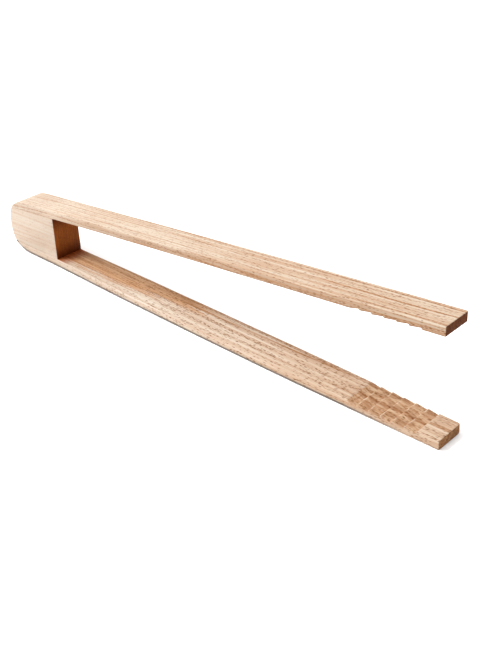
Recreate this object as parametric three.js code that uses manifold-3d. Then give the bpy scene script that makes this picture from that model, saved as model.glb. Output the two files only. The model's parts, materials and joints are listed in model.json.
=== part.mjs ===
// Wooden print tongs: two springy oak arms glued to a wedge-shaped spacer block, with stepped gripping
// teeth cut across the inner faces just before the tips.
//
// The tongs are drawn about their own middle plane, with X from the block's inner face to the tips,
// Y across their width and Z across their opening. They are then laid down on the lower arm's outer
// face, with the origin under the middle of the whole. All sizes are in millimetres.
import * as THREE from "three";
import { mergeVertices, toCreasedNormals } from "three/addons/utils/BufferGeometryUtils.js";
import Module from "manifold-3d";

const wasm = await Module();
wasm.setup();

// Length and opening
const freeLength = 252.8; // block's inner face to the tips
const headLength = 39.8; // rear end to the block's inner face
const blockHeight = 24.7; // between the arms at the block's inner face
const tipOpening = 51.6; // between the arms' inner faces at the very tips

// Width, seen from above. The lower arm swells more at mid length than the upper one.
const headWidth = 17.7;
const upperMiddleWidth = 18.9;
const lowerMiddleWidth = 21.1;
const tipWidth = 17.8;

// Thickness of an arm
const rootThickness = 5;
const middleThickness = 4.4;
const tipThickness = 5.1;

// Rounded rear end of the head
const noseRun = 16.6; // length over which the outer faces curve in
const noseFullnessShare = 0.7; // 0 gives a straight taper, 1 a square corner

// Gripping teeth: each ramp deepens towards the tip and ends in a steep wall
const toothCount = 6;
const toothPitch = 6.45;
const toothDepth = 1.05; // at the foot of a wall, under the arm's inner face
const crestDrop = 0.35; // crests between two teeth lie this far under the inner face
const wallRun = 0.5; // how far a wall leans over its height
const tipLand = 11; // plain face between the last wall and the tip

// Eased edges
const edgeRadius = 0.5; // along the arms and round the head
const tipEase = 0.3; // round the tips' end faces

// Gaps
const glueLine = 0.1; // between the block and each arm
const flexGap = 0.6; // between an arm's glued root and its free blade, where the bend is lumped
const overrun = 1; // how far cutters and trimming shapes reach past what they cut

// Fineness
const edgeSteps = 4; // facets round a quarter of an eased edge
const noseSteps = 12; // facets along each half of the nose
const bladeSteps = 28; // stretches along a blade
const creaseAngle = Math.PI / 6;

// The outer faces are straight. Their slope is what sets the arms' spread.
const flare = (tipOpening / 2 + tipThickness - blockHeight / 2 - rootThickness) / freeLength;
const halfSpread = Math.atan(flare);

// A smooth size along the free length, from its values at the head, the middle and the tip.
function alongArm(x, atHead, atMiddle, atTip) {
  const share = THREE.MathUtils.clamp(x / freeLength, 0, 1);
  const rest = 1 - share;
  return atHead * rest * (rest - share) + 4 * atMiddle * rest * share + atTip * share * (share - rest);
}

const armThickness = (x) => alongArm(x, rootThickness, middleThickness, tipThickness);
const outerFace = (x) => blockHeight / 2 + rootThickness + flare * x;
const innerFace = (x) => outerFace(x) - armThickness(x);
const gluePlane = (x) => blockHeight / 2 + flare * x;

// A closed three.js geometry as a solid that can be joined and cut.
function solidOf(geometry) {
  geometry.deleteAttribute("normal");
  geometry.deleteAttribute("uv");
  const merged = mergeVertices(geometry);
  const vertProperties = merged.attributes.position.array;
  const triVerts = new Uint32Array(merged.index.array);
  return new wasm.Manifold(new wasm.Mesh({ numProp: 3, vertProperties, triVerts }));
}

// A solid as a named mesh. Its edges stay crisp and its curves shade smoothly.
function meshOf(name, solid, material) {
  const { vertProperties, triVerts } = solid.getMesh();
  const geometry = new THREE.BufferGeometry();
  geometry.setAttribute("position", new THREE.BufferAttribute(vertProperties, 3));
  geometry.setIndex(new THREE.BufferAttribute(triVerts, 1));
  const mesh = new THREE.Mesh(toCreasedNormals(geometry, creaseAngle), material);
  mesh.name = name;
  return mesh;
}

// A side outline, drawn in X and Z, made solid over a width centred on the middle plane. The rounding
// eases its rim inside the outline.
function acrossWidth(outline, width, rounding = 0) {
  const depth = width - 2 * rounding;
  const geometry = new THREE.ExtrudeGeometry(outline, {
    depth,
    curveSegments: noseSteps,
    bevelEnabled: rounding > 0,
    bevelThickness: rounding,
    bevelSize: rounding,
    bevelOffset: -rounding,
    bevelSegments: edgeSteps,
  });
  geometry.translate(0, 0, -depth / 2);
  geometry.rotateX(Math.PI / 2);
  return solidOf(geometry);
}

// A closed skin over rings of equally many points that run round +X, with flat ends.
function loft(rings) {
  const count = rings[0].length;
  const last = count * (rings.length - 1);
  const index = [];
  for (let start = 0; start < last; start += count) {
    for (let i = 0; i < count; i++) {
      const a = start + i;
      const b = start + ((i + 1) % count);
      index.push(a, b, b + count, a, b + count, a + count);
    }
  }
  for (let i = 1; i + 1 < count; i++) {
    index.push(0, i + 1, i, last, last + i, last + i + 1);
  }
  const geometry = new THREE.BufferGeometry().setFromPoints(rings.flat());
  geometry.setIndex(index);
  return solidOf(geometry);
}

// The upper arm's cross-section at x: a flat strip with rounded edges, drawn in by the inset.
function armSection(x, middleWidth, inset = 0) {
  const radius = edgeRadius - inset;
  const side = alongArm(x, headWidth, middleWidth, tipWidth) / 2 - edgeRadius;
  const low = innerFace(x) + edgeRadius;
  const high = outerFace(x) - edgeRadius;
  const quarter = Math.PI / 2;
  const outline = new THREE.Shape()
    .absarc(side, low, radius, -quarter, 0)
    .absarc(side, high, radius, 0, quarter)
    .absarc(-side, high, radius, quarter, 2 * quarter)
    .absarc(-side, low, radius, 2 * quarter, 3 * quarter);
  return outline.getPoints(edgeSteps / 2).map((point) => new THREE.Vector3(x, point.x, point.y));
}

// The saw-like outline of the teeth, from the arm's inner face into the wood.
function toothOutline() {
  const end = freeLength - tipLand;
  const start = end - toothCount * toothPitch;
  const outline = new THREE.Shape();
  outline.moveTo(end, innerFace(end) - overrun);
  outline.lineTo(start, innerFace(start) - overrun);
  outline.lineTo(start, innerFace(start));
  for (let tooth = 1; tooth <= toothCount; tooth++) {
    const wall = start + tooth * toothPitch;
    const foot = wall - wallRun;
    outline.lineTo(foot, innerFace(foot) + toothDepth);
    outline.lineTo(wall, innerFace(wall) + (tooth < toothCount ? crestDrop : 0));
  }
  return outline;
}

// The upper arm's free blade, from just before the block to the tip.
function bladeSolid(middleWidth) {
  const from = flexGap;
  const to = freeLength - tipEase;
  const rings = [];
  for (let step = 0; step <= bladeSteps; step++) {
    rings.push(armSection(THREE.MathUtils.lerp(from, to, step / bladeSteps), middleWidth));
  }
  rings.push(armSection(freeLength, middleWidth, tipEase));
  return loft(rings).subtract(acrossWidth(toothOutline(), middleWidth + overrun));
}

// The head's side outline: both outer faces, closed by a rounded nose. It reaches past the block's
// inner face, where its parts are cut off square.
function headOutline() {
  const front = edgeRadius + overrun;
  const noseStart = noseRun - headLength;
  const bend = noseStart - noseFullnessShare * noseRun;
  const shoulder = noseFullnessShare * outerFace(-headLength);
  const outline = new THREE.Shape();
  outline.moveTo(front, -outerFace(front));
  outline.lineTo(front, outerFace(front));
  outline.lineTo(noseStart, outerFace(noseStart));
  outline.bezierCurveTo(bend, outerFace(bend), -headLength, shoulder, -headLength, 0);
  outline.bezierCurveTo(-headLength, -shoulder, bend, -outerFace(bend), noseStart, -outerFace(noseStart));
  return outline;
}

// What part of the head belongs to the upper arm, and what part to the block.
function upperRegion() {
  const back = -headLength - overrun;
  const low = (x) => gluePlane(x) + glueLine / 2;
  const high = outerFace(0) + overrun;
  return new THREE.Shape()
    .moveTo(back, low(back))
    .lineTo(0, low(0))
    .lineTo(0, high)
    .lineTo(back, high);
}

function blockRegion() {
  const back = -headLength - overrun;
  const high = (x) => gluePlane(x) - glueLine / 2;
  return new THREE.Shape()
    .moveTo(back, -high(back))
    .lineTo(0, -high(0))
    .lineTo(0, high(0))
    .lineTo(back, high(back));
}

const headSolid = acrossWidth(headOutline(), headWidth, edgeRadius);

function headPart(region) {
  return headSolid.intersect(acrossWidth(region, headWidth + overrun));
}

// Bare, pale oak. The arms are a little yellower than the block.
const armOak = () => new THREE.MeshStandardMaterial({ color: 0xddb98c, roughness: 0.62, metalness: 0 });
const blockOak = () => new THREE.MeshStandardMaterial({ color: 0xd9b08c, roughness: 0.66, metalness: 0 });

// An arm, drawn as the upper one. The lower arm is turned over about the tongs' length.
function arm(side, middleWidth, turn = 0) {
  const group = new THREE.Group();
  group.add(meshOf(`${side}_arm_root`, headPart(upperRegion()), armOak()));
  group.add(meshOf(`${side}_arm_blade`, bladeSolid(middleWidth), armOak()));
  group.rotation.x = turn;
  return group;
}

const tongs = new THREE.Group();
tongs.add(meshOf("spacer_block", headPart(blockRegion()), blockOak()));
tongs.add(arm("upper", upperMiddleWidth), arm("lower", lowerMiddleWidth, Math.PI));

// Lay the tongs down on the lower arm's outer face, centred over the origin.
tongs.rotation.y = -halfSpread;
const reach = new THREE.Box3().setFromObject(tongs, true);
tongs.position.set(-reach.getCenter(new THREE.Vector3()).x, 0, -reach.min.z);

const part = new THREE.Group();
part.add(tongs);

export default part;
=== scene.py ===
import json
import math
from collections import namedtuple
import bpy
import numpy as np
from mathutils import Matrix, Vector


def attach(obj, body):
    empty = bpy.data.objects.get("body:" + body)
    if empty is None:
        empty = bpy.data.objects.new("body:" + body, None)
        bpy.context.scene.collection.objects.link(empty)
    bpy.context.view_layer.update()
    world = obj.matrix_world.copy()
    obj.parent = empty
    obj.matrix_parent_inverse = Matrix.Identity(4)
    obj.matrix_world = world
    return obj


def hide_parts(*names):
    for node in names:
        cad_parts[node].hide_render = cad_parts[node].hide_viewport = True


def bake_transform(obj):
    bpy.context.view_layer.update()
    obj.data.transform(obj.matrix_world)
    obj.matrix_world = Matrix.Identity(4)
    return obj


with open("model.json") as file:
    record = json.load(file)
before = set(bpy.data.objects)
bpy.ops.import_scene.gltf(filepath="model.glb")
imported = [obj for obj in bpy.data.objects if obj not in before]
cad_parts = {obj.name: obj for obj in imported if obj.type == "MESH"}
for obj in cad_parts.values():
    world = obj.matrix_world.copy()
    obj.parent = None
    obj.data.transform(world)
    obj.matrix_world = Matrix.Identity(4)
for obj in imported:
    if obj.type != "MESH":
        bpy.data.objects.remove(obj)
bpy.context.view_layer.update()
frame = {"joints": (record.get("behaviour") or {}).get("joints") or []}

# Wooden print tongs: two springy oak arms, each one skin from its glued root to its tip, and the
# wedge-shaped block between them. All lengths are in millimetres unless a line says otherwise.
MM = 0.001
rng = np.random.default_rng(7)

# Sizes of the tongs, as in the solids
FREE_LENGTH = 252.8  # block's inner face to the tips
HEAD_LENGTH = 39.8  # rear end to the block's inner face
BLOCK_HEIGHT = 24.7  # between the arms at the block's inner face
TIP_OPENING = 51.6  # between the arms' inner faces at the very tips
HEAD_WIDTH = 17.7
MIDDLE_WIDTH = {"upper": 18.9, "lower": 21.1}
TIP_WIDTH = 17.8
ROOT_THICKNESS = 5.0
MIDDLE_THICKNESS = 4.4
TIP_THICKNESS = 5.1
NOSE_RUN = 16.6  # length over which the outer faces curve in
NOSE_FULLNESS = 0.7  # 0 gives a straight taper, 1 a square corner
TOOTH_COUNT = 6
TOOTH_PITCH = 6.45
TOOTH_DEPTH = 1.05  # at the foot of a wall, under the arm's inner face
CREST_DROP = 0.35  # crests between two teeth lie this far under the inner face
WALL_RUN = 0.5  # how far a wall leans over its height
TIP_LAND = 11.0  # plain face between the last wall and the tip
EDGE_RADIUS = 0.5
FLARE = (TIP_OPENING / 2 + TIP_THICKNESS - BLOCK_HEIGHT / 2 - ROOT_THICKNESS) / FREE_LENGTH

# Finish
GLUE_FILM = 0.02
INSIDE = 0.02  # keeps the smooth nose inside the faceted one
NEAR_CORNER = 0.5  # rounding of a tip's two corners, seen from above
FAR_CORNER = 1.1
TIP_EASE = 0.35  # rounding of a tip's upper and lower rim
CREST_EASE = 0.14  # rounding of the teeth's crests and feet
REST_RADIUS = 1.1  # rounding of the edges that the lower arm rests on
OUTER_EDGE_SHARE = 0.42  # most of the thickness that an outer edge's rounding takes
INNER_EDGE_SHARE = 0.3  # and an inner edge's
LEAST_HEIGHT = 1e-6  # of a section, so that it can be divided by
EASE_START = -0.3  # inner edges are square along the glue and grow round from here
EASE_RUN = 1.2

# Traces of handwork
HAND_WAVE = 0.07  # how far the planed faces stray from true
HAND_WAVE_RUN = 30.0  # they run true at the block and stray fully from here on
FACE_WAVE = 160.0  # longest wave of an inner face
SIDE_WAVE = 120.0  # longest wave of a side
WAVE_TERMS = 4
WAVE_FALLOFF = 0.7
WAVE_SCALE = 2.2
DEPTH_SPREAD = 0.1  # of the teeth, as a share of their depth
CREST_SPREAD = (0.8, 1.2)  # of the crests, as shares of their drop
WALL_SKEW = 0.028  # most that a wall runs along the arm, per millimetre across it

# Fineness
EDGE_STEPS = 5
FACE_STEPS = 10
SIDE_STEPS = 4
NOSE_STEPS = 26
NOSE_SHARE = 0.995  # an arm's nose stops just short of thinning out to nothing
NOSE_SLANT = 0.2  # least share of a nose's outward direction that points up
HEAD_STEPS = 14
ARM_STEP = 1.6
TOOTH_STEP = 0.8
TOOTH_MARGIN = 1.0  # the finer sections reach this far past the teeth
POST_SPREAD = 0.35  # sections stand closest within this distance of the outline's corners
POST_STEPS = 8
PLAIN_GAP = 0.2  # least distance from the plain stretch to the first of the finer sections
LAND_GAP = 0.05  # and from the last of them to the plain land at the tip
STATION_DIGITS = 3
LAND_STEPS = 9
CORNER_STEPS = 10
CREST_SAMPLES = 7
GLUE_SEARCH_STEPS = 4001
CREASE = math.radians(38)

# Marks on the arms that their materials read
INNER_REACH = 0.15  # up from the cut faces of the teeth
CREST_HIGHLIGHT_WIDTH = 0.28  # of the painted highlight along the crests
FILED_DEPTH = 0.12  # cuts deeper than this count as filed
CONTACT_SHADE_HEIGHT = 2.0  # how far the painted contact shade of the resting face climbs up the sides
CONTACT_SHADE_SOFT = 0.6
CONTACT_SHADE_EDGE = 3.5  # it is strongest along the two long edges
CONTACT_SHADE_EDGE_RUN = 2.5
CONTACT_SHADE_MIDDLE = 0.4
CONTACT_SHADE_END = 200.0  # it fades out from here on
CONTACT_SHADE_END_RUN = 40.0


# Own frame: X from the block's inner face to the tips, Z from the lower arm to the upper one
joints = {j["name"]: j for j in frame["joints"]}
upper_pivot = Vector(joints["upper_arm_flex"]["pos_m"])
lower_pivot = Vector(joints["lower_arm_flex"]["pos_m"])
own_z = (upper_pivot - lower_pivot).normalized()
own_y = Vector((0, 1, 0))
own_x = own_y.cross(own_z)
OWN = Matrix((own_x, own_y, own_z)).transposed().to_4x4()
OWN.translation = (upper_pivot + lower_pivot) / 2


def ramp(value, start, run):
    """0 up to the start, 1 past the run, and straight in between."""
    return np.clip((value - start) / run, 0, 1)


def along_arm(u, at_head, at_middle, at_tip):
    """A smooth size along the free length, from its values at the head, the middle and the tip."""
    s = ramp(u, 0, FREE_LENGTH)
    r = 1 - s
    return at_head * r * (r - s) + 4 * at_middle * r * s + at_tip * s * (s - r)


def outer_face(u):
    return BLOCK_HEIGHT / 2 + ROOT_THICKNESS + FLARE * u


def inner_face(u):
    return outer_face(u) - along_arm(u, ROOT_THICKNESS, MIDDLE_THICKNESS, TIP_THICKNESS)


def glue_plane(u):
    return BLOCK_HEIGHT / 2 + FLARE * u


def nose_curve(t):
    """The head's rounded rear end: points and outward directions in the own X and Z.

    At t 0 the curve leaves the upper outer face, and at t 1 it is at its rearmost point.
    """
    start = NOSE_RUN - HEAD_LENGTH
    bend = start - NOSE_FULLNESS * NOSE_RUN
    shoulder = NOSE_FULLNESS * outer_face(-HEAD_LENGTH)
    posts = np.array([
        (start, outer_face(start)),
        (bend, outer_face(bend)),
        (-HEAD_LENGTH, shoulder),
        (-HEAD_LENGTH, 0),
    ])
    t = np.asarray(t, float)[..., None]
    shares = [(1 - t) ** 3, 3 * t * (1 - t) ** 2, 3 * t * t * (1 - t), t**3]
    point = sum(share * post for share, post in zip(shares, posts))
    run_shares = [(1 - t) ** 2, 2 * t * (1 - t), t * t]
    run = sum(share * step for share, step in zip(run_shares, np.diff(posts, axis=0)))
    run /= np.linalg.norm(run, axis=-1, keepdims=True)
    outward = np.stack([run[..., 1], -run[..., 0]], -1)
    return point - INSIDE * outward, outward


def nose_meets_glue():
    """The t at which the nose crosses the plane where the upper arm is glued on."""
    t = np.linspace(0, 1, GLUE_SEARCH_STEPS)
    point, _ = nose_curve(t)
    return float(np.interp(0, glue_plane(point[:, 0]) - point[:, 1], t))


def wave(u, seed, length):
    """A slow, smooth, seeded wander between about -1 and 1."""
    local = np.random.default_rng(seed)
    total = np.zeros_like(u)
    for k in range(1, WAVE_TERMS + 1):
        swing, shift = local.normal(), local.uniform(0, 2 * math.pi)
        total += swing * np.sin(2 * math.pi * k * u / length + shift) / k**WAVE_FALLOFF
    return total / WAVE_SCALE


def new_object(name, data):
    made = bpy.data.objects.new(name, data)
    bpy.context.collection.objects.link(made)
    return made


def place_facing(name, data, place, toward):
    """A camera or a lamp at a place, looking in a direction."""
    made = new_object(name, data)
    made.location = place
    made.rotation_mode = "QUATERNION"
    made.rotation_quaternion = toward.to_track_quat("-Z", "Y")
    return made


def new_mesh(name, points, faces, attributes, material, matrix):
    """An object in the part's frame, in metres, from points in the own frame."""
    mesh = bpy.data.meshes.new(name)
    mesh.from_pydata((points * MM).tolist(), [], faces)
    for key, values in attributes.items():
        kind, field = ("FLOAT_VECTOR", "vector") if np.ndim(values) == 2 else ("FLOAT", "value")
        attribute = mesh.attributes.new(key, kind, "POINT")
        attribute.data.foreach_set(field, np.asarray(values, np.float32).ravel())
    mesh.transform(matrix)
    mesh.shade_smooth()
    mesh.set_sharp_from_angle(angle=CREASE)
    mesh.materials.append(material)
    mesh.validate()
    return new_object(name, mesh)


def skin(rings):
    """Quads over rings of equally many points, closed round and capped at both ends."""
    last, count = len(rings) - 1, len(rings[0])
    faces = []
    for start in range(0, last * count, count):
        for i in range(count):
            j = (i + 1) % count
            faces.append((start + i, start + count + i, start + count + j, start + j))
    faces.append(tuple(range(count)))
    faces.append(tuple(last * count + i for i in reversed(range(count))))
    return faces


def tooth_posts():
    """The inner face's saw-like profile: places along the arm, depths there, and the crests."""
    end = FREE_LENGTH - TIP_LAND
    start = end - TOOTH_COUNT * TOOTH_PITCH
    places, depths, crests = [start], [0.0], []
    for tooth in range(1, TOOTH_COUNT + 1):
        wall = start + tooth * TOOTH_PITCH
        places += [wall - WALL_RUN, wall]
        depths.append(TOOTH_DEPTH * (1 + DEPTH_SPREAD * rng.uniform(-1, 1)))
        depths.append(CREST_DROP * rng.uniform(*CREST_SPREAD) if tooth < TOOTH_COUNT else 0.0)
        crests.append(wall)
    return np.array(places), np.array(depths), np.array(crests)


def rounding(u, radius):
    """How far a corner of this radius at the tip draws a face in."""
    past = ramp(u, FREE_LENGTH - radius, radius)
    return radius * (1 - np.sqrt(1 - past**2))


def arm_stations(places):
    """Where an arm's sections stand, with the outer face's height and steepness at each."""
    nose, outward = nose_curve(np.linspace(nose_meets_glue() * NOSE_SHARE, 0, NOSE_STEPS))
    head = np.linspace(nose[-1, 0], 0, HEAD_STEPS)[1:]
    first, last = places[0] - TOOTH_MARGIN, places[-1] + TOOTH_MARGIN
    plain = np.arange(ARM_STEP / 4, first, ARM_STEP)
    land = np.linspace(last, FREE_LENGTH - FAR_CORNER, LAND_STEPS)
    quarter = np.linspace(0, math.pi / 2, CORNER_STEPS)
    corner = FREE_LENGTH - FAR_CORNER + FAR_CORNER * np.sin(quarter)[1:]

    around = np.linspace(-POST_SPREAD, POST_SPREAD, POST_STEPS)
    near = [place + around for place in places]
    toothed = np.concatenate([*near, np.arange(first, last, TOOTH_STEP)])
    toothed = np.unique(np.round(toothed, STATION_DIGITS))
    toothed = toothed[(toothed > plain[-1] + PLAIN_GAP) & (toothed < land[0] - LAND_GAP)]

    rest = np.concatenate([head, plain, toothed, land, corner])
    u = np.concatenate([nose[:, 0], rest])
    top = np.concatenate([nose[:, 1], outer_face(rest) - INSIDE])
    nose_steep = 1 / np.maximum(outward[:, 1], NOSE_SLANT)
    steep = np.concatenate([nose_steep, np.full(len(rest), math.hypot(1, FLARE))])
    return u, top, steep


def arm_ring(half, top, steep, low, cut, above, below):
    """One section's points: outer face, one side, inner face, and that side's mirror image."""
    quarter = np.linspace(0, math.pi / 2, EDGE_STEPS + 1)
    face = np.linspace(1, -1, FACE_STEPS + 1)
    outer = [(y * (half - above), top) for y in face]
    outer_edge = [
        (-(half - above + above * math.sin(q)), top - steep * above * (1 - math.cos(q)))
        for q in quarter[1:]
    ]
    inner_edge = [
        (-(half - below + below * math.sin(q)), max(low + below * (1 - math.cos(q)), cut))
        for q in quarter[:0:-1]
    ]
    inner = [(-y * (half - below), cut) for y in face]
    start, stop = outer_edge[-1], inner_edge[0]
    flank = [
        (start[0] + (stop[0] - start[0]) * share, start[1] + (stop[1] - start[1]) * share)
        for share in np.linspace(0, 1, SIDE_STEPS)[1:-1]
    ]
    side = outer_edge + flank + inner_edge
    return outer + side + inner + [(-y, z) for y, z in reversed(side)]


def arm_marks(side, rings, u, half, top, low, cut, crests):
    """What the material reads at an arm's points: painted crest highlights, filed and shaded teeth,
    and painted contact shade.
    """
    across, height = np.abs(rings[:, :, 0]), rings[:, :, 1]
    inner_side = height < (cut + INNER_REACH)[:, None]
    # Where the teeth's crests get a painted highlight
    crest = np.exp(-((u[:, None] - crests) / CREST_HIGHLIGHT_WIDTH) ** 2).max(1)
    # Painted contact shade on the lower arm's resting face, strongest along its long edges, fading
    # out before the tip
    under = ramp(height, (top - CONTACT_SHADE_HEIGHT)[:, None], CONTACT_SHADE_SOFT)
    to_edge = ramp(across, (half - CONTACT_SHADE_EDGE)[:, None], CONTACT_SHADE_EDGE_RUN)
    fade = 1 - ramp(u, CONTACT_SHADE_END, CONTACT_SHADE_END_RUN)
    contact_shade = under * (CONTACT_SHADE_MIDDLE + (1 - CONTACT_SHADE_MIDDLE) * to_edge) * fade[:, None] * (side == "lower")
    return {
        "crest_highlight": (crest[:, None] * inner_side).ravel(),
        "filed_and_shaded": ((cut - low > FILED_DEPTH)[:, None] * inner_side).ravel(),
        "contact_shade": contact_shade.ravel(),
    }


def make_arm(side, material, seed):
    """One whole arm, from its glued root to its tip, drawn as the upper one."""
    places, depths, crests = tooth_posts()
    u, top, steep = arm_stations(places)

    # Its inner face, its half width, and the inner face with the teeth cut in
    free = ramp(u, 0, HAND_WAVE_RUN)
    low = inner_face(u) + HAND_WAVE * free * wave(u, seed, FACE_WAVE)
    half = along_arm(u, HEAD_WIDTH, MIDDLE_WIDTH[side], TIP_WIDTH) / 2
    half = half - HAND_WAVE * free * (1 + wave(u, seed + 1, SIDE_WAVE)).clip(0, 2)
    shifts = np.linspace(-CREST_EASE, CREST_EASE, CREST_SAMPLES)
    cuts = [np.interp(u + shift, places, depths, left=0, right=0) for shift in shifts]
    cut = np.where(u > places[0] - TOOTH_MARGIN, low + np.mean(cuts, axis=0), low)
    ease = rounding(u, TIP_EASE)
    top, low, cut = top - ease, low + ease, np.maximum(cut, low + ease)

    # Rounding of the long edges: none where the arm is glued on or where its wedge thins out
    high = top - cut
    outer_radius = REST_RADIUS if side == "lower" else EDGE_RADIUS
    inner_radius = GLUE_FILM + (EDGE_RADIUS - GLUE_FILM) * ramp(u, EASE_START, EASE_RUN)
    above = np.minimum(outer_radius, OUTER_EDGE_SHARE * high / steep)
    below = np.minimum(inner_radius, INNER_EDGE_SHARE * high)
    sections = zip(half, top, steep, low, cut, above, below)
    rings = np.array([arm_ring(*section) for section in sections])[:, ::-1]
    far = (rings[:, :, 0] > 0) == (side == "upper")
    drawn_in = np.where(far, rounding(u, FAR_CORNER)[:, None], rounding(u, NEAR_CORNER)[:, None])
    rings[:, :, 0] *= 1 - drawn_in / half[:, None]

    # The teeth were filed by hand, so their walls run a little askew
    skews = rng.uniform(-WALL_SKEW, WALL_SKEW, len(crests))
    askew = np.interp(u, crests, skews, left=0, right=0)
    share = ramp(top[:, None], rings[:, :, 1], np.maximum(high, LEAST_HEIGHT)[:, None])
    along = u[:, None] + askew[:, None] * rings[:, :, 0] * share
    points = np.dstack([along, rings]).reshape(-1, 3)

    # The grain runs along the outer face
    grain = points - np.outer(points[:, 0], (0, 0, FLARE))
    marks = {"grain": grain, **arm_marks(side, rings, u, half, top, low, cut, crests)}
    turn = Matrix.Rotation(math.pi, 4, "X") if side == "lower" else Matrix.Identity(4)
    piece = new_mesh(f"{side}_arm", points, skin(rings), marks, material, OWN @ turn)
    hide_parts(f"{side}_arm_root", f"{side}_arm_blade")
    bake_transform(piece)


def make_block(material):
    """The wedge between the arms: its side outline, layered across the width, with eased rims."""
    nose, outward = nose_curve(np.linspace(nose_meets_glue(), 1, NOSE_STEPS))
    nose = np.concatenate([nose, (nose * (1, -1))[-2::-1]])
    outward = np.concatenate([outward, (outward * (1, -1))[-2::-1]])
    flat = HEAD_WIDTH / 2 - EDGE_RADIUS
    outer_layers = [
        (flat + EDGE_RADIUS * math.sin(q), EDGE_RADIUS * (1 - math.cos(q)))
        for q in np.linspace(0, math.pi / 2, EDGE_STEPS + 1)[1:]
    ]
    layers = [(-y, inset) for y, inset in reversed(outer_layers)]
    layers += [(y, 0.0) for y in np.linspace(-flat, flat, FACE_STEPS + 1)] + outer_layers
    rings = []
    for y, inset in layers:
        rear = nose - outward * inset
        limit = glue_plane(rear[:, 0]) - GLUE_FILM
        rear[:, 1] = np.clip(rear[:, 1], -limit, limit)
        front = -inset / 2
        height = glue_plane(front) - GLUE_FILM
        up = [(front, z) for z in np.linspace(-height, height, FACE_STEPS + 1)]
        back = np.linspace(up[-1], rear[0], HEAD_STEPS)[1:-1]
        fore = np.linspace(rear[-1], up[0], HEAD_STEPS)[1:-1]
        loop = np.concatenate([up, back, rear, fore])
        rings.append(np.column_stack([loop[:, 0], np.full(len(loop), y), loop[:, 1]]))
    points = np.concatenate(rings)
    piece = new_mesh("block", points, skin(rings), {"grain": points}, material, OWN)
    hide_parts("spacer_block")
    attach(piece, "head")


class Net:
    """The node tree of a material or a world, with short ways to add and join nodes."""

    MIX_SHARE, MIX_A, MIX_B, MIX_COLOUR = 0, 6, 7, 2  # sockets of a colour mix
    GIVE_NUMBERS = ("LENGTH", "DOT_PRODUCT")  # operations that turn vectors into a number

    def __init__(self, owner):
        owner.use_nodes = True
        self.owner = owner
        self.tree = owner.node_tree
        self.shader = self.tree.nodes.get("Principled BSDF") or self.tree.nodes["Background"]

    def join(self, value, socket):
        """Links a socket to another, or gives it a plain value. Colours come without an alpha."""
        if isinstance(value, bpy.types.NodeSocket):
            self.tree.links.new(value, socket)
        else:
            socket.default_value = (*value, 1.0) if socket.type == "RGBA" else value

    def shade(self, name, value):
        self.join(value, self.shader.inputs[name])

    def add(self, kind, *values, out=0, settings=None, **named):
        """A new node's output. Its inputs are given in order or by name."""
        node = self.tree.nodes.new(kind)
        for key, value in (settings or {}).items():
            setattr(node, key, value)
        for key, value in [*enumerate(values), *named.items()]:
            self.join(value, node.inputs[key])
        return node.outputs[out]

    def attribute(self, name, out="Fac"):
        return self.add("ShaderNodeAttribute", out=out, settings={"attribute_name": name})

    def axis(self, vector, name):
        return self.add("ShaderNodeSeparateXYZ", vector, out=name)

    def math(self, operation, a, b=0.0, c=0.0):
        return self.add("ShaderNodeMath", a, b, c, settings={"operation": operation})

    def times(self, first, *factors):
        for factor in factors:
            first = self.math("MULTIPLY", first, factor)
        return first

    def vector(self, operation, a, b=(0, 0, 0), **named):
        out = "Value" if operation in self.GIVE_NUMBERS else "Vector"
        settings = {"operation": operation}
        return self.add("ShaderNodeVectorMath", a, b, out=out, settings=settings, **named)

    def between(self, value, low, high, to_low=0.0, to_high=1.0, smooth=True):
        """Stretches the span from low to high to one from to_low to to_high, held at both ends."""
        kind = "SMOOTHSTEP" if smooth else "LINEAR"
        settings = {"interpolation_type": kind, "clamp": True}
        return self.add("ShaderNodeMapRange", value, low, high, to_low, to_high, settings=settings)

    def noise(self, place, noise):
        """A noise over a place, as its record says."""
        raw = self.add(
            "ShaderNodeTexNoise",
            settings={"noise_dimensions": "3D"},
            Vector=self.vector("MULTIPLY", place, noise.fineness),
            Scale=1.0,
            Detail=noise.detail,
            Roughness=noise.roughness,
        )
        return self.between(raw, *noise.span, *noise.ends) if noise.span else raw

    def stray(self, value, place, noise, amount):
        """A value that a noise over a place adds to."""
        return self.math("MULTIPLY_ADD", self.noise(place, noise), amount, value)

    def off_line(self, place, y, z):
        """The distance from a line along X."""
        across = self.vector("MULTIPLY", place, (0, 1, 1))
        return self.vector("LENGTH", self.vector("SUBTRACT", across, (0, y, z)))

    def mix(self, share, a, b, blend="MIX"):
        node = self.tree.nodes.new("ShaderNodeMix")
        node.data_type, node.blend_type, node.clamp_factor = "RGBA", blend, True
        for value, index in ((share, self.MIX_SHARE), (a, self.MIX_A), (b, self.MIX_B)):
            self.join(value, node.inputs[index])
        return node.outputs[self.MIX_COLOUR]

    def tint(self, colour, tint):
        return self.mix(1.0, colour, tint, "MULTIPLY")


# Colours of the wood
UPPER_CREAM = (0.437, 0.388, 0.322)
# Paler than the upper arm's cream: painted light that lifts the shade on the lower arm
LOWER_CREAM_WITH_PAINTED_LIGHT = (0.52, 0.475, 0.41)
BLOCK_CREAM = (0.395, 0.335, 0.28)
HEAD_CREAM = (0.40, 0.34, 0.28)
BROWN = (0.26, 0.11, 0.038)
# Painted shade along the upper arm's lower near edge
UNDER_EDGE_SHADE = (0.22, 0.14, 0.085)
# Painted shadow of the upper arm and the head on the lower arm
PAINTED_ARM_SHADOW = (0.405, 0.232, 0.122)
STREAK = (0.20, 0.088, 0.036)
PORE = (0.15, 0.062, 0.023)
# Painted contact shade where the lower arm rests on the floor
PAINTED_CONTACT_SHADE = (0.11, 0.085, 0.07)

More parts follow.
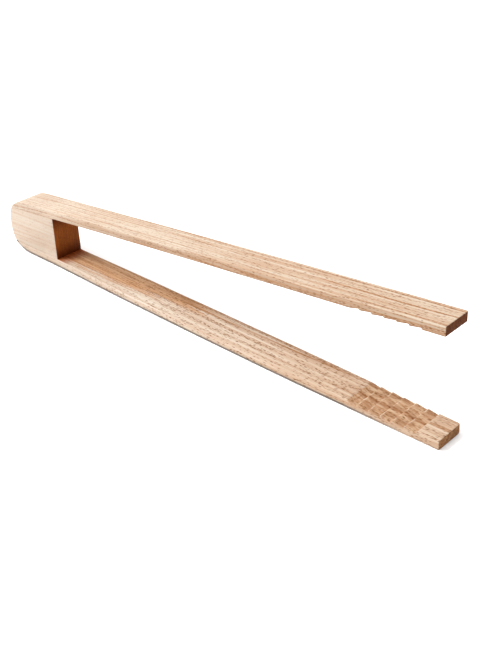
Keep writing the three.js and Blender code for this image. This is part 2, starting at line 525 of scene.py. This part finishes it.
# Tints, which multiply a colour
# Painted shade: the arms darken and brown toward the tips, where less light falls
UPPER_TIP_SHADE = (0.96, 0.92, 0.87)
LOWER_TIP_SHADE = (0.92, 0.82, 0.73)
# End grain's own darker tone plus painted shade on the ends that face the tips; the upper tip's end
# and the block's face take the most
UPPER_END_GRAIN_AND_SHADE = (0.29, 0.105, 0.02)
LOWER_END_GRAIN_AND_SHADE = (0.69, 0.47, 0.28)
BLOCK_END_GRAIN_AND_SHADE = (0.53, 0.17, 0.03)
REAR_TINT = (0.84, 0.71, 0.57)
# Painted shade in the corners between the block and the arms
BLOCK_CORNER_SHADE = (0.42, 0.26, 0.16)
ARM_CORNER_SHADE = (0.56, 0.19, 0.05)
# Filed faces: partly the cut wood's own darker tone, partly painted shade of ramps that tilt away
# from the light
DARK_FILED_AND_SHADE_TINT = (0.70, 0.50, 0.34)
PALE_FILED_TINT = (0.97, 0.84, 0.69)
# Painted highlight on the teeth's crests
CREST_HIGHLIGHT_TINT = (1.08, 0.97, 0.86)

# A span leads the values between its first two numbers over to 0 and 1, or to its last two numbers.
# A noise over the wood has a fineness per millimetre along X, Y and Z, a detail, a roughness and, if
# not all of its values count, their span and its ends.
Noise = namedtuple(
    "Noise", "fineness detail roughness span ends", defaults=(2.0, 0.5, None, (0.0, 1.0))
)
RING_DRIFT = Noise((0.006, 0.02, 0.02), 1.0)
RING_WOBBLE = Noise((0.02, 0.3, 0.3))
PATCHES = Noise((0.02, 0.12, 0.12), span=(0.35, 0.6))
FIBRES = Noise((0.02, 2.2, 2.2), 3.0, 0.65)
STREAKS = Noise((0.009, 0.7, 0.7), span=(0.45, 0.62))
CLOUDS = Noise((0.02, 0.06, 0.06), 1.0, span=(0.35, 0.65), ends=(0.0, 0.15))
GRAIN_LINES = Noise((0.03, 1.5, 1.5), 4.0, 0.65, span=(0.46, 0.6))
BAND_BORDER = Noise((0.025, 0.9, 0.9), 3.0, 0.6)
FILED_PATCHES = Noise((0.12, 0.3, 0.3), 0.0, span=(0.4, 0.6))
# Patches of the painted highlight on the crests
CREST_HIGHLIGHT_PATCHES = Noise((0.2, 0.3, 0.3), 1.0, span=(0.42, 0.56), ends=(0.1, 0.8))
END_SPECKLE = Noise((0.4, 3.2, 3.2), span=(0.35, 0.7), ends=(1.08, 0.8))
END_RAYS = Noise((0.2, 1.7, 0.1), 3.0, span=(0.3, 0.7), ends=(0.8, 1.2))

# Growth rings. The early wood's spans are shares of a ring.
DRIFT_SIZE = 6.0
WOBBLE_SIZE = 1.6
EARLY_RISE = (0.0, 0.12)
EARLY_FALL = (0.25, 0.65, 1.0, 0.0)
RING_STRENGTH = (0.1, 0.8, 0.15, 1.0)  # each ring has its own value in this span
PATCH_STRENGTH = (0.0, 1.0, 0.35, 1.0)
RING_LINE = 0.75

# Figure: how it grows bolder along the board, and what share of each colour it takes
FIGURE_END = 0.85 * FREE_LENGTH
# Span of the figure's boldness over which the painted shade toward the tips comes in
TIP_SHADE_SPAN = (0.3, 1.0)
FIBRE_TONE = (0.38, 0.62)
FIBRE_SHARE = 0.5
STREAK_SHARE = 0.3
GRAIN_LINE_SHARE = 0.75
HEAD_START = -14.0  # the head's cream fades from here
HEAD_END = 4.0  # to here, or further on
HEAD_SHARE = 0.85
SEED_STEPS = (137.0, 31.0, 17.0)  # from one board's place in the noise to the next one's

# Pores: thin hollows in cells of this fineness per millimetre
PORE_CELLS = (0.5, 3.0, 3.0)
PORE_RADIUS = (0.3, 0.55, 1.0, 0.0)
PORE_RISE = (-HEAD_LENGTH, FIGURE_END)
PORE_WEIGHT = (0.40, 0.95)
PORE_EARLY = (0.0, 0.4)  # span of early wood over which more and more of them are open

# Painted crest highlights, filed faces, and painted shade on the resting face, the tip-facing ends
# and the corners
FILED_AND_SHADE_SHARE = 0.8
CONTACT_SHADE_SHARE = 0.95
FACING_TIP = (0.75, 0.97)
FACING_REAR = (-0.97, -0.6, 1.0, 0.0)
# Reach of the painted shade in the corners
BLOCK_CORNER_SHADE_REACH = 9.0
ARM_CORNER_SHADE_REACH = 12.0
CORNER_FLANK = (0.4, 0.7, 1.0, 0.0)
CORNER_HEIGHT = (0.5, 2.0, 1.0, 0.0)

# Surface
FIBRE_ROUGHNESS = (0.2, 0.8, 0.55, 0.68)
HOLLOW_ROUGHNESS = 0.2
GLOSS = 0.05
FIBRE_RELIEF = 0.35
RELIEF_STRENGTH = 0.35
RELIEF_HEIGHT = 0.15 * MM

# A tinted strip along one inner edge of an arm, as far round that edge as its reach, which changes
# over the taper. Its border strays by the wander. It fades in over the rise and out over the fall.
# A line is tinted along that border only. The strips are painted shade; the line is a grain streak.
EDGE = -HEAD_WIDTH / 2
INNER = BLOCK_HEIGHT / 2
LINE_PATCHES = (0.0, 0.8, 0.45, 1.0)
Band = namedtuple("Band", "reach taper soft wander strength rise fall colour line")
# Painted shade along the upper arm's lower near edge, darkening the lower part of its near side
UPPER_SHADE_BANDS = [
    Band((4.2, 4.2), (0, 1), 1.2, 0.8, 0.4, (-5, 40), (220, 320), UNDER_EDGE_SHADE, False),
    Band((1.0, 1.0), (0, 1), 0.6, 0.4, 0.6, (-5, 40), (220, 320), UNDER_EDGE_SHADE, False),
]
LOWER_SHADOW_AND_STREAK_BANDS = [
    # Painted shadow of the upper arm and the head on the lower arm's far inner side, widest at the
    # root
    Band((13.5, 3.5), (45, 112), 1.6, 9.0, 0.9, (-38, -2), (85, 135), PAINTED_ARM_SHADOW, False),
    # A thin brown grain streak near the far inner edge
    Band((3.6, 1.5), (100, 200), 1.0, 0.45, 1.0, (75, 105), (205, 240), BROWN, True),
]


def tinted(colour, tint):
    return tuple(c * t for c, t in zip(colour, tint))


def growth_rings(net, place, shifted, heart, ring_width):
    """How early the wood is, and how strong its figure, in rings of uneven width and strength."""
    radius = net.off_line(place, *heart)
    radius = net.stray(radius, shifted, RING_DRIFT, DRIFT_SIZE)
    radius = net.stray(radius, shifted, RING_WOBBLE, WOBBLE_SIZE)
    ring = net.math("DIVIDE", radius, ring_width)
    phase = net.math("FRACT", ring)
    number = net.math("FLOOR", ring)
    tone = net.add("ShaderNodeTexWhiteNoise", settings={"noise_dimensions": "1D"}, W=number)
    patch = net.noise(shifted, PATCHES)
    strength = net.times(net.between(tone, *RING_STRENGTH), net.between(patch, *PATCH_STRENGTH))
    early = net.times(net.between(phase, *EARLY_RISE), net.between(phase, *EARLY_FALL), strength)
    return early, patch


def open_pores(net, shifted, early, cells, share):
    """Pores: long thin hollows, crowded in the early wood of each ring."""
    stretched = net.vector("MULTIPLY", shifted, cells)
    settings = {"voronoi_dimensions": "3D", "feature": "F1"}
    voronoi = net.add("ShaderNodeTexVoronoi", settings=settings, Vector=stretched, Scale=1.0).node
    chance = net.add("ShaderNodeSeparateColor", voronoi.outputs["Color"], out="Red")
    is_open = net.math("LESS_THAN", chance, net.between(early, *PORE_EARLY, *share, smooth=False))
    return net.times(net.between(voronoi.outputs["Distance"], *PORE_RADIUS), is_open)


def band_share(net, band, place, along, shifted, patch):
    """How strongly a strip's colour shows at each place."""
    reach = net.between(along, *band.taper, *band.reach, smooth=False)
    gap = net.math("SUBTRACT", net.off_line(place, EDGE, INNER), reach)
    gap = net.stray(gap, shifted, BAND_BORDER, 2 * band.wander)
    if band.line:
        gap = net.math("ABSOLUTE", net.math("SUBTRACT", gap, band.wander))
        share = net.between(gap, 0.0, band.soft, band.strength, 0.0)
        share = net.times(share, net.between(patch, *LINE_PATCHES))
    else:
        low, high = band.wander - band.soft, band.wander + band.soft
        share = net.between(gap, low, high, band.strength, 0.0)
    fade_in = net.between(along, *band.rise)
    return net.times(fade_in, net.between(along, *band.fall, 1.0, 0.0), share)


def filed_and_painted_faces(net, colour, shifted, pale):
    """The teeth's filed faces are darker, partly the filed wood's own tone and partly painted shade;
    their crests get a painted highlight, and the resting face painted contact shade.
    """
    # The filed faces darken, partly as cut wood and partly as painted shade
    tint = net.mix(net.noise(shifted, FILED_PATCHES), DARK_FILED_AND_SHADE_TINT, PALE_FILED_TINT)
    filed_and_shaded = net.times(net.attribute("filed_and_shaded"), FILED_AND_SHADE_SHARE)
    colour = net.mix(filed_and_shaded, colour, net.tint(colour, tint))
    # Painted highlight along the teeth's crests, in patches
    crest_highlight = net.times(net.attribute("crest_highlight"), net.noise(shifted, CREST_HIGHLIGHT_PATCHES))
    colour = net.mix(crest_highlight, colour, tinted(pale, CREST_HIGHLIGHT_TINT))
    # Painted contact shade on the resting face
    return net.mix(net.times(net.attribute("contact_shade"), CONTACT_SHADE_SHARE), colour, PAINTED_CONTACT_SHADE)


def end_grain_and_shade(net, colour, shifted, normal, end_grain_and_shade_tint):
    """End grain is darker than the long grain. The ends that face the tips also get painted shade,
    so they look darker inside the jaw than behind the head.
    """
    facing = net.vector("DOT_PRODUCT", normal, tuple(own_x))
    speckle = net.times(net.noise(shifted, END_SPECKLE), net.noise(shifted, END_RAYS))
    # Ends facing the tips get end grain and painted shade, ends facing the rear get end grain only
    for span, tint in ((FACING_TIP, end_grain_and_shade_tint), (FACING_REAR, REAR_TINT)):
        dark = net.vector("SCALE", net.tint(colour, tint), Scale=speckle)
        colour = net.mix(net.between(facing, *span), colour, dark)
    return colour


def painted_corner_shade(net, colour, place, along, normal, tint, reach):
    """Painted shade in the corners between the block and the arms."""
    height = net.math("SUBTRACT", net.math("ABSOLUTE", net.axis(place, "Z")), INNER)
    squares = [net.math("POWER", net.math("ABSOLUTE", way), 2.0) for way in (along, height)]
    corner = net.math("SQRT", net.math("ADD", *squares))
    flank = net.math("ABSOLUTE", net.vector("DOT_PRODUCT", normal, tuple(own_y)))
    # Painted shade where the block meets the arms
    corner_shade = net.times(
        net.between(corner, 0.0, reach, 1.0, 0.0),
        net.between(flank, *CORNER_FLANK),
        net.between(height, *CORNER_HEIGHT),
    )
    return net.mix(corner_shade, colour, net.tint(colour, tint))


def oak(
    name,
    seed,
    *,
    heart,  # Y and Z of the line that the growth rings run round
    ring_width,
    pale,
    pore_share,  # share of the pores that are open, in late and in early wood
    boldness,  # of the figure, where it starts and near the tip
    end_grain_and_shade_tint,
    bands=(),
    bold_from=-HEAD_LENGTH,
    ring_line=RING_LINE,
    pore_cells=PORE_CELLS,
    pore_rise=PORE_RISE,
    pore_weight=PORE_WEIGHT,
    tip_shade_tint=UPPER_TIP_SHADE,
    head_end=HEAD_END,
    corner_shade_tint=ARM_CORNER_SHADE,
    corner_shade_reach=ARM_CORNER_SHADE_REACH,
):
    """Bare oak: growth rings round a distant heart, rows of open pores, fibres and end grain, with
    painted shade and painted highlights laid on the colour.
    """
    net = Net(bpy.data.materials.new(name))
    place = net.attribute("grain", "Vector")
    along = net.axis(place, "X")
    shifted = net.vector("ADD", place, tuple(seed * step for step in SEED_STEPS))
    bold = net.between(along, bold_from, FIGURE_END, *boldness, smooth=False)
    early, patch = growth_rings(net, place, shifted, heart, ring_width)
    hollow = open_pores(net, shifted, early, pore_cells, pore_share)
    fibre = net.noise(shifted, FIBRES)
    grain_line = net.noise(shifted, GRAIN_LINES)

    # The board's own tone with painted shade toward the tips, the head's cream, and the strips of
    # painted shade and grain streak
    colour = net.mix(net.between(bold, *TIP_SHADE_SPAN, smooth=False), pale, tinted(pale, tip_shade_tint))
    colour = net.mix(net.between(along, HEAD_START, head_end, HEAD_SHARE, 0.0), colour, HEAD_CREAM)
    for band in bands:
        share = band_share(net, band, place, along, shifted, patch)
        colour = net.mix(share, colour, band.colour)
        colour = net.mix(net.times(grain_line, GRAIN_LINE_SHARE, share), colour, STREAK)

    # Fibres, streaks, slow changes of tone and growth rings, all in brown, and then the pores
    for share in (
        net.times(bold, FIBRE_SHARE, net.between(fibre, *FIBRE_TONE)),
        net.times(bold, STREAK_SHARE, net.noise(shifted, STREAKS)),
        net.noise(shifted, CLOUDS),
        net.times(bold, ring_line, early),
    ):
        colour = net.mix(share, colour, BROWN)
    weight = net.between(along, *pore_rise, *pore_weight, smooth=False)
    colour = net.mix(net.times(hollow, weight), colour, PORE)

    normal = net.add("ShaderNodeNewGeometry", out="Normal")
    colour = filed_and_painted_faces(net, colour, shifted, pale)
    colour = end_grain_and_shade(net, colour, shifted, normal, end_grain_and_shade_tint)
    colour = painted_corner_shade(net, colour, place, along, normal, corner_shade_tint, corner_shade_reach)
    relief = net.math("ADD", net.times(hollow, -1.0), net.times(fibre, FIBRE_RELIEF))
    bump = net.add(
        "ShaderNodeBump", Strength=RELIEF_STRENGTH, Distance=RELIEF_HEIGHT, Height=relief
    )
    rough = net.between(fibre, *FIBRE_ROUGHNESS)
    rough = net.math("ADD", net.times(hollow, HOLLOW_ROUGHNESS), rough)
    net.shade("Base Color", colour)
    net.shade("Roughness", rough)
    net.shade("Specular IOR Level", GLOSS)
    net.shade("Normal", bump)
    return net.owner


upper_oak = oak(
    "upper_arm_oak",
    seed=1,
    heart=(-120, -70),
    ring_width=1.5,
    pale=UPPER_CREAM,
    pore_share=(0.16, 1.0),
    boldness=(0.45, 1.0),
    end_grain_and_shade_tint=UPPER_END_GRAIN_AND_SHADE,
    bands=UPPER_SHADE_BANDS,
)
lower_oak = oak(
    "lower_arm_oak",
    seed=2,
    heart=(110, -90),
    ring_width=3.2,
    pale=LOWER_CREAM_WITH_PAINTED_LIGHT,
    pore_share=(0.18, 1.0),
    boldness=(0.5, 1.1),
    end_grain_and_shade_tint=LOWER_END_GRAIN_AND_SHADE,
    bands=LOWER_SHADOW_AND_STREAK_BANDS,
    bold_from=60,
    ring_line=0.5,
    pore_cells=(0.45, 2.5, 2.5),
    pore_rise=(5, 60),
    pore_weight=(0.35, 0.92),
    tip_shade_tint=LOWER_TIP_SHADE,
    head_end=85.0,
)
block_oak = oak(
    "block_oak",
    seed=3,
    heart=(-40, -90),
    ring_width=2.2,
    pale=BLOCK_CREAM,
    pore_share=(0.14, 0.3),
    boldness=(0.3, 0.3),
    end_grain_and_shade_tint=BLOCK_END_GRAIN_AND_SHADE,
    pore_weight=(0.25, 0.25),
    corner_shade_tint=BLOCK_CORNER_SHADE,
    corner_shade_reach=BLOCK_CORNER_SHADE_REACH,
)
make_arm("upper", upper_oak, seed=11)
make_arm("lower", lower_oak, seed=23)
make_block(block_oak)

# Floor, in metres
FLOOR_HALF = 8.0
FLOOR_WHITES = ((0.90, 0.90, 0.905), (0.92, 0.92, 0.92))
FLOOR_ROUGHNESS = 0.9
FLOOR_GLOSS = 0.1
MOTTLE_SCALE = 1.5
MOTTLE_DETAIL = 2.0
floor_net = Net(bpy.data.materials.new("floor_white"))
floor_place = floor_net.add("ShaderNodeTexCoord", out="Object")
mottle = floor_net.add(
    "ShaderNodeTexNoise", Vector=floor_place, Scale=MOTTLE_SCALE, Detail=MOTTLE_DETAIL
)
floor_net.shade("Base Color", floor_net.mix(mottle, *FLOOR_WHITES))
floor_net.shade("Roughness", FLOOR_ROUGHNESS)
floor_net.shade("Specular IOR Level", FLOOR_GLOSS)
floor_mesh = bpy.data.meshes.new("floor")
rim = [(x * FLOOR_HALF, y * FLOOR_HALF, 0) for x, y in ((-1, -1), (1, -1), (1, 1), (-1, 1))]
floor_mesh.from_pydata(rim, [], [(0, 1, 2, 3)])
floor_mesh.materials.append(floor_net.owner)
floor = new_object("floor", floor_mesh)

# Camera, as fitted to the tongs' outlines. Its place is in metres.
VIEW_AZIMUTH = math.radians(41.74)
VIEW_HEIGHT = math.radians(31.41)
VIEW_DISTANCE = 0.5376
VIEW_TARGET = Vector((0.0238, 0, 0.0079))
SENSOR_WIDTH = 36
FOCAL_PIXELS = 1075.5
LONG_SIDE_PIXELS = 658
level = math.cos(VIEW_HEIGHT)
back = Vector((
    math.sin(VIEW_AZIMUTH) * level,
    -math.cos(VIEW_AZIMUTH) * level,
    math.sin(VIEW_HEIGHT),
))
camera_data = bpy.data.cameras.new("camera")
camera_data.sensor_width = SENSOR_WIDTH
camera_data.lens = FOCAL_PIXELS * SENSOR_WIDTH / LONG_SIDE_PIXELS
view_from = VIEW_TARGET + back * VIEW_DISTANCE
bpy.context.scene.camera = place_facing("camera", camera_data, view_from, -back)

# Light: a broad soft key high above the rear left, and a pale room that is dimmer beyond the tips.
# The key's place and size are in metres.
KEY_FROM = Vector((-0.55, -0.42, 0.88))
KEY_POWER = 11.8
KEY_SIZE = 0.36
ROOM_BRIGHT = 2.5
ROOM_DIM = 0.15
ROOM_TURN = (-0.45, 1.0)
ROOM_SIDE = Vector((-0.76, -0.28, 0.58)).normalized()
SKYLINE = (0.05, 0.4, 1.0, 0.0)
key_data = bpy.data.lights.new("key", "AREA")
key_data.shape, key_data.size, key_data.energy = "DISK", KEY_SIZE, KEY_POWER
place_facing("key", key_data, KEY_FROM, -KEY_FROM)
room = Net(bpy.data.worlds.new("room"))
toward = room.add("ShaderNodeTexCoord", out="Generated")
side_light = room.vector("DOT_PRODUCT", toward, ROOM_SIDE)
side_light = room.between(side_light, *ROOM_TURN, ROOM_DIM, ROOM_BRIGHT, smooth=False)
skyline = room.between(room.axis(toward, "Z"), *SKYLINE)
room.shade("Strength", room.math("MAXIMUM", side_light, skyline))
room.shade("Color", (1.0, 1.0, 1.0))
bpy.context.scene.world = room.owner
bpy.context.scene.view_settings.view_transform = "Standard"
